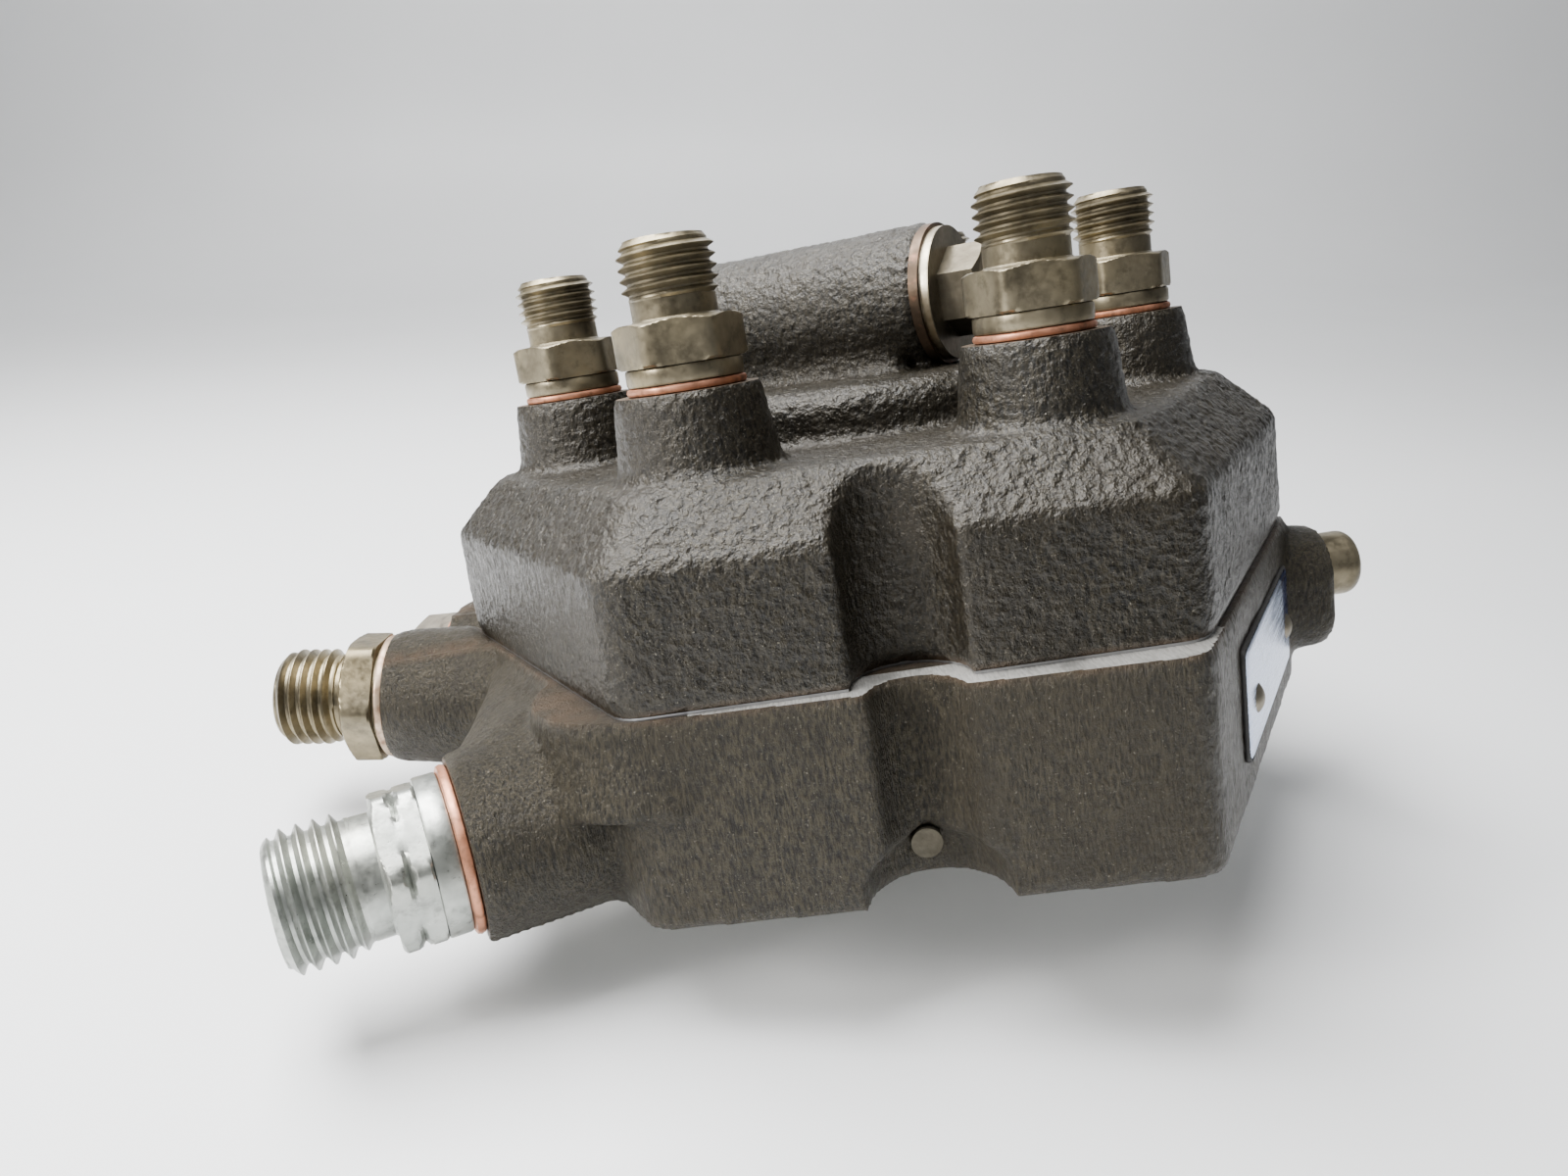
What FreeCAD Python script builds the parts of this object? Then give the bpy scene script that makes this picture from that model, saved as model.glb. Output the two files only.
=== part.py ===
import FreeCAD, Part
import math
import os

# Six-outlet cast-iron fuel distributor with its own pressure regulator.
# Frame: origin at the centre of the lower mounting face, on the metering axis.
# +Z runs up the outlet fittings, +X to the right of the front face. Millimetres.

V = FreeCAD.Vector

# ---- driving dimensions -------------------------------------------------
LOWER_TOP = 30.8          # machined joint face of the lower housing
DIAPHRAGM_T = 0.4
UPPER_BASE = LOWER_TOP + DIAPHRAGM_T
WALL_TOP = 50.8           # where the upper housing's sloped shoulder starts
PLATEAU = 60.0
BOSS_TOP = 72.0
RING_R = 50.0             # radius of the ring of outlets
RING_ANGLES = (-120.0, -60.0, 0.0, 60.0, 120.0, 180.0)
SPIGOT_R = 18.0
SPIGOT_H = 10.0

UPPER_FACES = ((-90.0, 66.0), (-30.0, 67.0), (30.0, 67.0),
               (90.0, 66.5), (150.0, 67.0), (-150.0, 67.0))
LOWER_FACES = ((-93.8, 68.5), (-30.0, 67.8), (30.0, 67.8),
               (90.0, 67.6), (150.0, 67.6), (-150.0, 67.6))
CORNER_R = 6.0
SHOULDER = 9.2            # inset of the plateau from the walls

BARREL_R = 9.98
BARREL_BORE = 10.0
PLUNGER_R = 4.98
PLUNGER_BORE = 5.0
PLUNGER_HEAD_R = 6.4
HEAD_BORE = 7.0
HEAD_SEAT = 33.5
BARREL_TOP = 48.0
PLUNGER_TRAVEL = 10.0

CHAMBER_R = 10.5
LOWER_CHAMBER_Z = 18.0
UPPER_CHAMBER_TOP = 44.0
SEAT_TUBE_R = 4.48

REG_ANGLE = -30.0         # regulator axis, between two outlets
REG_Z = 80.2
REG_R = 12.0
REG_RIGHT = 19.0
REG_LEFT = -31.0
REG_BORE = 7.5
PISTON_R = 7.47
PUSH_BORE = 4.0
PUSH_R = 3.97

SCREW_RING = 31.0
SCREW_ANGLES = (-90.0, -30.0, 30.0, 90.0, 150.0, -150.0)
NOTCH_ANGLES = (-90.0, 30.0, 90.0)
MOUNT_RING = 66.0
MOUNT_ANGLES = (-60.0, 60.0, 180.0)

INLET_AT = (-66.9, -56.4, 12.4)
INLET_ANGLE = -155.0
CONTROL_AT = (-92.8, -5.1, 22.0)
CONTROL_ANGLE = 183.0
CONTROL_LIFT = 8.5        # the control port climbs outwards
TEST_AT = (82.4, 0.0, 20.4)
REAR_AT = (-87.0, 25.0, 17.0)
REAR_ANGLE = 168.0


# ---- helpers --------------------------------------------------------------
def cyl(r, z0, z1, x=0.0, y=0.0):
    return Part.makeCylinder(r, z1 - z0, V(x, y, z0))


def cone(r0, r1, z0, z1, x=0.0, y=0.0):
    return Part.makeCone(r0, r1, z1 - z0, V(x, y, z0))


def ring(r_out, r_in, z0, z1, x=0.0, y=0.0):
    return cyl(r_out, z0, z1, x, y).cut(cyl(r_in, z0 - 1, z1 + 1, x, y))


def polar(r, angle):
    a = math.radians(angle)
    return r * math.cos(a), r * math.sin(a)


def fuse_all(shapes):
    out = shapes[0]
    for s in shapes[1:]:
        out = out.fuse(s)
    return out


def face_corners(faces, inset):
    pts = []
    n = len(faces)
    for i in range(n):
        a0, d0 = faces[i - 1]
        a1, d1 = faces[i]
        a0, a1 = math.radians(a0), math.radians(a1)
        d0, d1 = d0 - inset, d1 - inset
        det = math.cos(a0) * math.sin(a1) - math.sin(a0) * math.cos(a1)
        x = (d0 * math.sin(a1) - d1 * math.sin(a0)) / det
        y = (d1 * math.cos(a0) - d0 * math.cos(a1)) / det
        pts.append(V(x, y, 0))
    return pts


def round_wire(faces, inset, r, z):
    """Closed outline of the faces, moved in by inset, with corners of radius r."""
    pts = face_corners(faces, inset)
    n = len(pts)
    edges = []
    arcs = []
    for i in range(n):
        p = pts[i]
        u = (pts[i - 1] - p).normalize()
        w = (pts[(i + 1) % n] - p).normalize()
        half = u.getAngle(w) / 2.0
        back = r / math.tan(half)
        bis = (u + w).normalize()
        centre = p + bis * (r / math.sin(half))
        mid = centre - bis * r
        arcs.append((p + u * back, mid, p + w * back))
    lift = V(0, 0, z)
    for i in range(n):
        a, m, b = arcs[i]
        nxt = arcs[(i + 1) % n][0]
        edges.append(Part.Arc(a + lift, m + lift, b + lift).toShape())
        edges.append(Part.makeLine(b + lift, nxt + lift))
    return Part.Wire(edges)


def prism(faces, inset, r, z0, z1):
    return Part.Face(round_wire(faces, inset, r, z0)).extrude(V(0, 0, z1 - z0))


def taper(faces, inset0, r0, z0, inset1, r1, z1):
    a = round_wire(faces, inset0, r0, z0)
    b = round_wire(faces, inset1, r1, z1)
    return Part.makeLoft([a, b], True, True)


def hexagon(af, z0, z1, turn=0.0, chamfer=0.0):
    rc = af / math.sqrt(3.0)
    pts = []
    for i in range(7):
        x, y = polar(rc, turn + 60.0 * i)
        pts.append(V(x, y, z0))
    body = Part.Face(Part.makePolygon(pts)).extrude(V(0, 0, z1 - z0))
    if chamfer > 0:
        top = cone(rc + 0.02, rc - chamfer * 1.7, z1 - chamfer, z1)
        low = cyl(rc + 0.02, z0, z1 - chamfer)
        body = body.common(low.fuse(top))
    return body


def aim(shape, at, angle, lift=0.0):
    """Lay a shape built along +Z onto an axis at this azimuth, climbing by lift degrees."""
    s = shape.copy()
    s.rotate(V(0, 0, 0), V(0, 1, 0), 90.0 - lift)
    s.rotate(V(0, 0, 0), V(0, 0, 1), angle)
    s.translate(V(*at))
    return s


def torus(major, minor, z):
    return Part.makeTorus(major, minor, V(0, 0, z))


def coil(mean_r, wire_r, z0, z1, turns):
    """Compression spring standing between z0 and z1, measured over the wire."""
    h = z1 - z0 - 2 * wire_r
    path = Part.makeLongHelix(h / turns, h, mean_r)
    ring_edge = Part.makeCircle(wire_r, V(mean_r, 0, 0), V(0, 1, 0))
    body = Part.Wire(path).makePipeShell([Part.Wire(ring_edge)], True, True)
    body.translate(V(0, 0, z0 + wire_r))
    return body


def keep(name, shape):
    os.makedirs("parts", exist_ok=True)
    shape.exportStep("parts/" + name + ".step")


def around(shape, angle, r):
    s = shape.copy()
    x, y = polar(r, angle)
    s.translate(V(x, y, 0))
    return s


RX, RY = polar(1.0, REG_ANGLE)


def reg(shape):
    return aim(shape, (0, 0, REG_Z), REG_ANGLE)


# ---- threaded fittings, built along +Z from the face they seal on -----------
def fitting(shank_r, shank_l, washer_t, collar_r, collar_t, af, hex_t, neck_r,
            neck_t, thread_r, thread_t, bore_r, turn, mouth_r, notch=False):
    z = washer_t
    parts = [cyl(shank_r, -shank_l, washer_t)]
    parts.append(cyl(collar_r, z, z + collar_t))
    z += collar_t
    nut = hexagon(af, z, z + hex_t, turn, 0.5)
    if notch:
        mid = z + hex_t / 2.0
        rc = af / math.sqrt(3.0)
        nut = nut.cut(ring(rc + 2.0, rc - 0.8, mid - 0.8, mid + 0.8))
    parts.append(nut)
    z += hex_t
    parts.append(cyl(neck_r, z, z + neck_t))
    z += neck_t
    lead = 0.9
    parts.append(cyl(thread_r, z, z + thread_t - lead))
    parts.append(cone(thread_r, thread_r - lead, z + thread_t - lead, z + thread_t))
    top = z + thread_t
    body = fuse_all(parts)
    body = body.cut(cyl(bore_r, -shank_l - 1, top + 1))
    body = body.cut(cone(bore_r, mouth_r, top - (mouth_r - bore_r) * 1.6, top + 0.001))
    return body


# ---- lower housing ---------------------------------------------------------
# where the flare meets the left-front side: along the side and up, from the axis round
FLARE = ((24.0, 12.4), (25.0, 20.0), (23.0, 27.5), (6.0, 30.2), (-24.0, 30.2), (-36.0, 29.6),
         (-36.0, 14.0), (-28.0, 3.0), (-12.0, 0.6), (0.0, 0.3), (10.0, 0.3), (20.0, 4.0))


def inlet_block():
    """Boss of the fuel inlet, flaring out into the left-front side of the body."""
    r = 14.0
    body = aim(Part.makeCylinder(r, 46.0, V(0, 0, -46.0)), INLET_AT, INLET_ANGLE)
    wx, wy = polar(1.0, INLET_ANGLE + 90.0)
    bx, by = polar(1.6, INLET_ANGLE)
    near = []
    for k in range(len(FLARE)):
        phi = math.radians(30.0 * k)
        w = (r - 0.3) * math.cos(phi)
        near.append(V(INLET_AT[0] - bx + w * wx, INLET_AT[1] - by + w * wy,
                      INLET_AT[2] + (r - 0.3) * math.sin(phi)))
    nx, ny = polar(1.0, -150.0)
    far = [V(62.0 * nx - s * ny, 62.0 * ny + s * nx, z) for s, z in FLARE]
    loops = [Part.makePolygon(pts + [pts[0]]) for pts in (near, far)]
    flare = Part.makeLoft(loops, True, True)
    pad = cone(20.5, 17.9, 17.0, 27.0, -37.5, -47.5).fuse(cyl(17.9, 27.0, LOWER_TOP, -37.5, -47.5))
    return body.fuse(flare).fuse(pad)


def notch(angle, r, z0, z1, at):
    x, y = polar(at, angle)
    return cyl(r, z0, z1, x, y)


def lower_housing():
    body = prism(LOWER_FACES, 0.0, CORNER_R, 0.0, LOWER_TOP)
    body = body.fuse(cyl(SPIGOT_R, -SPIGOT_H, 1.0))
    body = body.fuse(inlet_block())
    # side bosses; the part of the control boss above the joint clears the upper housing
    ctrl = aim(Part.makeCone(14.6, 12.4, 36.0, V(0, 0, -36.0)), CONTROL_AT, CONTROL_ANGLE, CONTROL_LIFT)
    ctrl = ctrl.cut(prism(UPPER_FACES, -0.4, CORNER_R, LOWER_TOP, 60.0))
    body = body.fuse(ctrl)
    test = fuse_all([Part.makeCylinder(9.4, 24.0, V(0, 0, -24.0)),
                     Part.makeCylinder(9.4, 24.0, V(4.6, 0, -24.0)),
                     Part.makeBox(4.6, 18.8, 24.0, V(0, -9.4, -24.0))])
    body = body.fuse(aim(test, (TEST_AT[0], TEST_AT[1], TEST_AT[2] - 1.2), 0.0))
    rear = aim(Part.makeCylinder(15.0, 40.0, V(0, 0, -40.0)), REAR_AT, REAR_ANGLE)
    rear = rear.cut(prism(UPPER_FACES, -0.4, CORNER_R, LOWER_TOP, 60.0))
    body = body.fuse(rear)
    cuts = [cyl(BARREL_BORE, -SPIGOT_H - 1, LOWER_TOP + 1)]
    # wall notches that clear the mounting screws, with a wider pocket at the foot
    for a in NOTCH_ANGLES:
        cuts.append(notch(a, 6.2, -1.0, LOWER_TOP + 1, 69.0))
        fx, fy = polar(68.2, a)
        cuts.append(cyl(9.4, -1.0, 5.4, fx, fy).fuse(cone(9.4, 6.8, 5.4, 7.6, fx, fy)))
    for a in RING_ANGLES:
        x, y = polar(RING_R, a)
        cuts.append(cyl(CHAMBER_R, LOWER_CHAMBER_Z, LOWER_TOP + 1, x, y))
        feed = Part.makeCylinder(1.8, 24.0, V(22.5, 0, 20.5), V(1, 0, 0))
        feed = feed.fuse(cyl(1.8, 12.0, 20.5, 22.5, 0.0))
        feed = feed.fuse(Part.makeCylinder(1.8, 13.0, V(9.5, 0, 12.4), V(1, 0, 0)))
        feed.rotate(V(0, 0, 0), V(0, 0, 1), a)
        cuts.append(feed)
    cuts.append(ring(25.0, 20.0, 10.0, 15.0))
    for a in SCREW_ANGLES:
        x, y = polar(SCREW_RING, a)
        cuts.append(cyl(3.3, -1.0, LOWER_TOP + 1, x, y))
        cuts.append(cyl(5.5, -1.0, 7.0, x, y))
    for a in MOUNT_ANGLES:
        x, y = polar(MOUNT_RING, a)
        cuts.append(cyl(2.5, -1.0, 11.0, x, y))
    # inlet: threaded mouth, a straight drilling and a cross drilling to the gallery
    cuts.append(aim(Part.makeCylinder(8.02, 15.0, V(0, 0, -14.0)), INLET_AT, INLET_ANGLE))
    cuts.append(aim(Part.makeCylinder(3.5, 52.0, V(0, 0, -52.0)), INLET_AT, INLET_ANGLE))
    ix, iy = polar(1.0, INLET_ANGLE)
    ex = INLET_AT[0] - 50.0 * ix
    ey = INLET_AT[1] - 50.0 * iy
    el = math.hypot(ex, ey)
    to_axis = V(-ex / el, -ey / el, 0)
    cuts.append(Part.makeCylinder(3.0, el - 22.0, V(ex, ey, INLET_AT[2]), to_axis))
    # control and test ports
    lie = (CONTROL_AT, CONTROL_ANGLE, CONTROL_LIFT)
    cuts.append(aim(Part.makeCylinder(6.02, 15.0, V(0, 0, -14.0)), *lie))
    cuts.append(aim(Part.makeCylinder(2.0, 26.0, V(0, 0, -26.0)), *lie))
    cuts.append(aim(Part.makeCylinder(4.02, 13.0, V(0, 0, -12.0)), TEST_AT, 0.0))
    cuts.append(aim(Part.makeCylinder(8.02, 15.0, V(0, 0, -14.0)), REAR_AT, REAR_ANGLE))
    # rivets of the type plate and the seal pin
    for s in PLATE_RIVETS:
        hole = Part.makeCylinder(1.2, 6.0, V(0, 0, 0), V(-1, 0, 0))
        cuts.append(on_plate_face(hole, s, PLATE_MID))
    cuts.append(Part.makeCylinder(SEAL_R + 0.02, 8.0, V(SEAL_X, SEAL_Y - 2.0, SEAL_Z), V(0, 1, 0)))
    for c in cuts:
        body = body.cut(c)
    return body.removeSplitter()


PLATE_S0 = -22.0          # along the right-front side, from its middle
PLATE_S1 = 27.0
PLATE_RIVETS = (-14.5, 21.5)
PLATE_Z0 = 7.4
PLATE_Z1 = 24.0
PLATE_MID = 14.6
PLATE_T = 0.8
SEAL_X = -0.6
SEAL_Y = -63.2
SEAL_Z = 6.6
SEAL_R = 2.2


def on_plate_face(shape, s, z):
    """Place a shape, built with +X out of the side, on the right-front side."""
    out = shape.copy()
    d = LOWER_FACES[1][1]
    out.translate(V(d, s, z))
    out.rotate(V(0, 0, 0), V(0, 0, 1), LOWER_FACES[1][0])
    return out


# ---- upper housing -----------------------------------------------------------
def upper_housing():
    body = prism(UPPER_FACES, 0.0, CORNER_R, UPPER_BASE, WALL_TOP)
    body = body.fuse(taper(UPPER_FACES, 0.0, CORNER_R, WALL_TOP,
                           SHOULDER, CORNER_R, PLATEAU))
    for a in RING_ANGLES:
        x, y = polar(RING_R, a)
        body = body.fuse(cone(13.0, 10.9, 52.0, BOSS_TOP, x, y))
    dome = cyl(33.0, 55.0, 68.4)
    dome = dome.makeFillet(4.5, [e for e in dome.Edges if e.BoundBox.ZMin > 68.0])
    body = body.fuse(dome)
    length = REG_RIGHT - REG_LEFT
    barrel = Part.makeCylinder(REG_R, length, V(0, 0, REG_LEFT))
    barrel = barrel.makeChamfer(1.6, [e for e in barrel.Edges if e.BoundBox.ZMax < REG_LEFT + 0.1])
    lip = Part.makeCylinder(12.3, 2.2, V(0, 0, REG_RIGHT - 2.2))
    lip = lip.makeChamfer(0.6, [e for e in lip.Edges if len(e.Vertexes) == 1])
    web = Part.makeBox(REG_Z - 60.0, 19.0, length - 8.0, V(0, -9.5, REG_LEFT + 4.0))
    body = body.fuse(reg(barrel.fuse(lip)))
    body = body.fuse(reg(web))
    cuts = []
    for a in NOTCH_ANGLES:
        cuts.append(notch(a, 7.7, 30.0, 61.0, 65.2))
    for a in RING_ANGLES:
        x, y = polar(RING_R, a)
        cuts.append(cyl(CHAMBER_R, UPPER_BASE - 1, UPPER_CHAMBER_TOP, x, y))
        cuts.append(cyl(4.5, UPPER_CHAMBER_TOP - 1, 59.0, x, y))
        cuts.append(cyl(6.02, 58.0, BOSS_TOP + 1, x, y))
        slot = Part.makeCylinder(1.2, 32.0, V(9.5, 0, 38.0), V(1, 0, 0))
        slot.rotate(V(0, 0, 0), V(0, 0, 1), a)
        cuts.append(slot)
    for a in SCREW_ANGLES:
        x, y = polar(SCREW_RING, a)
        cuts.append(cyl(3.0, UPPER_BASE - 1, 46.0, x, y))
    cuts.append(cyl(BARREL_BORE, UPPER_BASE - 1, 52.0))
    cuts.append(cyl(1.5, 50.0, REG_Z))
    cuts.append(reg(Part.makeCylinder(REG_BORE, REG_RIGHT + 12.0, V(0, 0, -12.0))))
    cuts.append(reg(Part.makeCylinder(8.0, REG_RIGHT - 6.0, V(0, 0, 7.0))))
    cuts.append(reg(Part.makeCylinder(PUSH_BORE, 17.0, V(0, 0, -28.0))))
    for c in cuts:
        body = body.cut(c)
    return body.removeSplitter()


# ---- metering group -----------------------------------------------------------
def barrel():
    body = cyl(BARREL_R, -SPIGOT_H + 0.5, BARREL_TOP)
    body = body.cut(cyl(PLUNGER_BORE, -SPIGOT_H - 1, BARREL_TOP + 1))
    body = body.cut(cyl(HEAD_BORE, HEAD_SEAT, BARREL_TOP + 1))
    for z in (3.0, 27.0):
        body = body.cut(ring(11.0, 8.2, z - 1.2, z + 1.2))
    body = body.cut(ring(11.0, 9.0, 9.5, 15.5))
    body = body.cut(ring(11.0, 9.0, 36.0, 40.0))
    for a in RING_ANGLES:
        port = Part.makeCylinder(1.2, 6.0, V(4.5, 0, 12.4), V(1, 0, 0))
        slit = Part.makeBox(6.0, 0.2, 5.0, V(4.5, -0.1, 18.0))
        chase = Part.makeBox(1.4, 1.2, 22.5, V(8.8, -0.6, 17.6))
        cut = port.fuse(slit).fuse(chase)
        cut.rotate(V(0, 0, 0), V(0, 0, 1), a)
        body = body.cut(cut)
    return body


def plunger():
    low = -SPIGOT_H + 1.0
    body = cyl(PLUNGER_R, low, HEAD_SEAT + 0.2)
    body = body.fuse(cyl(PLUNGER_HEAD_R, HEAD_SEAT + 0.1, HEAD_SEAT + 3.1))
    body = body.fuse(cyl(2.2, HEAD_SEAT + 3.0, HEAD_SEAT + 4.2))
    body = body.cut(ring(6.0, 4.1, 9.0, 17.8))
    for z in (22.0, 25.0, 28.0, -3.0):
        body = body.cut(ring(6.0, 4.7, z - 0.3, z + 0.3))
    return body.cut(cyl(1.4, low - 1, low + 2.0))


def barrel_seal(z):
    return torus(9.09, 0.88, z)


def diaphragm():
    body = prism(UPPER_FACES, 0.6, CORNER_R, LOWER_TOP, UPPER_BASE)
    body = body.cut(cyl(10.1, 0.0, 60.0))
    for a in SCREW_ANGLES:
        x, y = polar(SCREW_RING, a)
        body = body.cut(cyl(3.3, 0.0, 60.0, x, y))
    for a in NOTCH_ANGLES:
        body = body.cut(notch(a, 8.4, 0.0, 60.0, 65.2))
        body = body.cut(notch(a, 7.2, 0.0, 60.0, 69.0))
    return body


def valve_seat():
    body = cyl(SEAT_TUBE_R, 38.0, 56.0)
    body = body.fuse(cyl(2.6, UPPER_BASE + 0.15, 38.0))
    return body.cut(cyl(1.2, 20.0, 60.0))


def spring_plate():
    body = ring(8.0, 3.1, UPPER_BASE + 0.02, UPPER_BASE + 0.62)
    return body.fuse(ring(4.6, 3.1, UPPER_BASE + 0.5, UPPER_BASE + 1.5))


def valve_spring():
    return coil(6.2, 0.45, UPPER_BASE + 0.66, UPPER_CHAMBER_TOP - 0.03, 6.0)


# ---- regulator group ------------------------------------------------------------
def reg_piston():
    body = Part.makeCylinder(PISTON_R, 9.0, V(0, 0, -11.95))
    body = body.cut(Part.makeCylinder(5.9, 5.0, V(0, 0, -6.95)))
    groove = Part.makeCylinder(9.0, 2.0, V(0, 0, -10.4))
    groove = groove.cut(Part.makeCylinder(5.9, 2.0, V(0, 0, -10.4)))
    return body.cut(groove)


def reg_seal():
    return Part.makeTorus(6.7, 0.75, V(0, 0, -9.4))


def reg_spring():
    return coil(4.7, 0.65, -6.9, 11.9, 7.0)


def reg_shims():
    a = Part.makeCylinder(5.7, 0.6, V(0, 0, 12.6)).cut(Part.makeCylinder(2.6, 1.0, V(0, 0, 12.5)))
    b = Part.makeCylinder(5.7, 0.6, V(0, 0, 11.95)).cut(Part.makeCylinder(2.6, 1.0, V(0, 0, 11.8)))
    return Part.makeCompound([a, b])


def reg_plug():
    body = Part.makeCylinder(7.97, REG_RIGHT - 7.2 + 1.6, V(0, 0, 7.2))
    body = body.fuse(Part.makeCylinder(11.0, 1.6, V(0, 0, REG_RIGHT + 1.6)))
    body = body.fuse(hexagon(13.0, REG_RIGHT + 3.0, REG_RIGHT + 10.0, 6.0, 0.8))
    return body.cut(Part.makeCylinder(5.9, 6.05, V(0, 0, 7.2)))


def washer_at(r_out, r_in, t):
    return Part.makeCylinder(r_out, t).cut(Part.makeCylinder(r_in, t + 2, V(0, 0, -1)))


def push_valve():
    body = Part.makeCylinder(PUSH_R, 5.0, V(0, 0, -20.5))
    body = body.fuse(Part.makeCylinder(2.0, 3.5, V(0, 0, -15.6)))
    return body


def push_spring():
    return coil(2.9, 0.4, -27.95, -20.55, 5.0)


# ---- small items -----------------------------------------------------------------
def clamp_screw():
    body = cyl(5.0, 1.0, 6.98).fuse(cyl(2.97, 6.9, 44.0))
    return body.cut(hexagon(5.0, 0.5, 4.2))


def type_plate():
    body = Part.makeBox(PLATE_T, PLATE_S1 - PLATE_S0, PLATE_Z1 - PLATE_Z0,
                        V(0.02, 0, PLATE_Z0 - PLATE_MID))
    ends = [e for e in body.Edges if abs(e.Vertexes[0].Point.x - e.Vertexes[-1].Point.x) > 0.1]
    body = body.makeFillet(1.5, ends)
    for s in PLATE_RIVETS:
        body = body.cut(Part.makeCylinder(1.25, 3.0, V(-1, s - PLATE_S0, 0), V(1, 0, 0)))
    return on_plate_face(body, PLATE_S0, PLATE_MID)


def plate_rivet():
    head = Part.makeSphere(3.2, V(-1.25, 0, 0))
    head = head.common(Part.makeBox(6, 8, 8, V(PLATE_T + 0.04, -4, -4)))
    stem = Part.makeCylinder(1.17, 5.0 + PLATE_T + 0.5, V(-5.0, 0, 0), V(1, 0, 0))
    return head.fuse(stem)


def test_stub():
    body = Part.makeCylinder(4.0, 11.0, V(0, 0, -11.0))
    dome = Part.makeCylinder(6.0, 7.2, V(0, 0, 0.0))
    dome = dome.makeFillet(2.4, [e for e in dome.Edges if e.BoundBox.ZMin > 7.0])
    return body.fuse(dome)


def rear_plug():
    body = Part.makeCylinder(8.0, 13.8, V(0, 0, -12.0))
    body = body.fuse(Part.makeCylinder(12.6, 2.6, V(0, 0, 1.6)))
    body = body.fuse(hexagon(22.0, 4.1, 12.0, 12.0, 1.2))
    return body.cut(hexagon(10.0, 6.6, 13.0))


# ---- write every piece --------------------------------------------------------------
keep("lower_housing", lower_housing())
keep("upper_housing", upper_housing())
keep("diaphragm", diaphragm())
keep("metering_barrel", barrel())
keep("barrel_seal_lower", barrel_seal(3.0))
keep("barrel_seal_upper", barrel_seal(27.0))
keep("control_plunger", plunger())

groups = {"valve_seats": valve_seat(), "valve_springs": valve_spring(),
          "spring_plates": spring_plate()}
for name, one in groups.items():
    keep(name, Part.makeCompound([around(one, a, RING_R) for a in RING_ANGLES]))

HEX_TURNS = (4.7, -3.3, 1.0, 10.0, 17.0, 20.4)
for i, a in enumerate(RING_ANGLES):
    one = fitting(6.0, 13.5, 1.2, 8.5, 2.6, 17.0, 6.1, 6.15, 2.9,
                  7.0, 8.3, 2.6, HEX_TURNS[i] - 90.0, 4.6)
    one.translate(V(0, 0, BOSS_TOP))
    keep("outlet_fitting_" + str(i + 1), around(one, a, RING_R))
seal = washer_at(8.6, 6.1, 1.2)
seal.translate(V(0, 0, BOSS_TOP))
keep("outlet_washers", Part.makeCompound([around(seal, a, RING_R) for a in RING_ANGLES]))

inlet = fitting(8.0, 13.0, 1.6, 11.8, 3.6, 22.0, 6.2, 8.7, 2.9,
                10.1, 11.5, 4.5, 14.0, 7.2, True)
keep("inlet_fitting", aim(inlet, INLET_AT, INLET_ANGLE))
keep("inlet_washer", aim(washer_at(12.6, 8.1, 1.6), INLET_AT, INLET_ANGLE))
strainer = Part.makeCylinder(4.4, 11.0, V(0, 0, -12.5))
strainer = strainer.cut(Part.makeCylinder(3.9, 10.6, V(0, 0, -11.9)))
keep("inlet_strainer", aim(strainer, INLET_AT, INLET_ANGLE))

control = fitting(6.0, 13.0, 1.6, 10.5, 0.5, 22.0, 5.9, 7.6, 1.8,
                  9.0, 11.0, 3.0, 0.0, 6.2)
keep("control_fitting", aim(control, CONTROL_AT, CONTROL_ANGLE, CONTROL_LIFT))
seal = washer_at(11.6, 6.1, 1.6)
keep("control_washer", aim(seal, CONTROL_AT, CONTROL_ANGLE, CONTROL_LIFT))

keep("test_stub", aim(test_stub(), TEST_AT, 0.0))
keep("rear_plug", aim(rear_plug(), REAR_AT, REAR_ANGLE))
keep("rear_washer", aim(washer_at(13.0, 8.1, 1.6), REAR_AT, REAR_ANGLE))

keep("regulator_plug", reg(reg_plug()))
plug_seal = washer_at(11.7, 8.1, 1.6)
plug_seal.translate(V(0, 0, REG_RIGHT))
keep("regulator_washer", reg(plug_seal))
keep("regulator_spring", reg(reg_spring()))
keep("regulator_shims", reg(reg_shims()))
keep("regulator_piston", reg(reg_piston()))
keep("regulator_seal", reg(reg_seal()))
keep("push_valve", reg(push_valve()))
keep("push_valve_spring", reg(push_spring()))

keep("clamp_screws", Part.makeCompound([around(clamp_screw(), a, SCREW_RING) for a in SCREW_ANGLES]))
keep("type_plate", type_plate())
keep("plate_rivets", Part.makeCompound([
    on_plate_face(plate_rivet(), s, PLATE_MID) for s in PLATE_RIVETS]))
keep("seal_pin", Part.makeCylinder(SEAL_R, 5.9, V(SEAL_X, SEAL_Y, SEAL_Z), V(0, 1, 0)))
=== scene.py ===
import math

import bmesh
import bpy
import numpy as np
from mathutils import Matrix, Vector, noise


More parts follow.
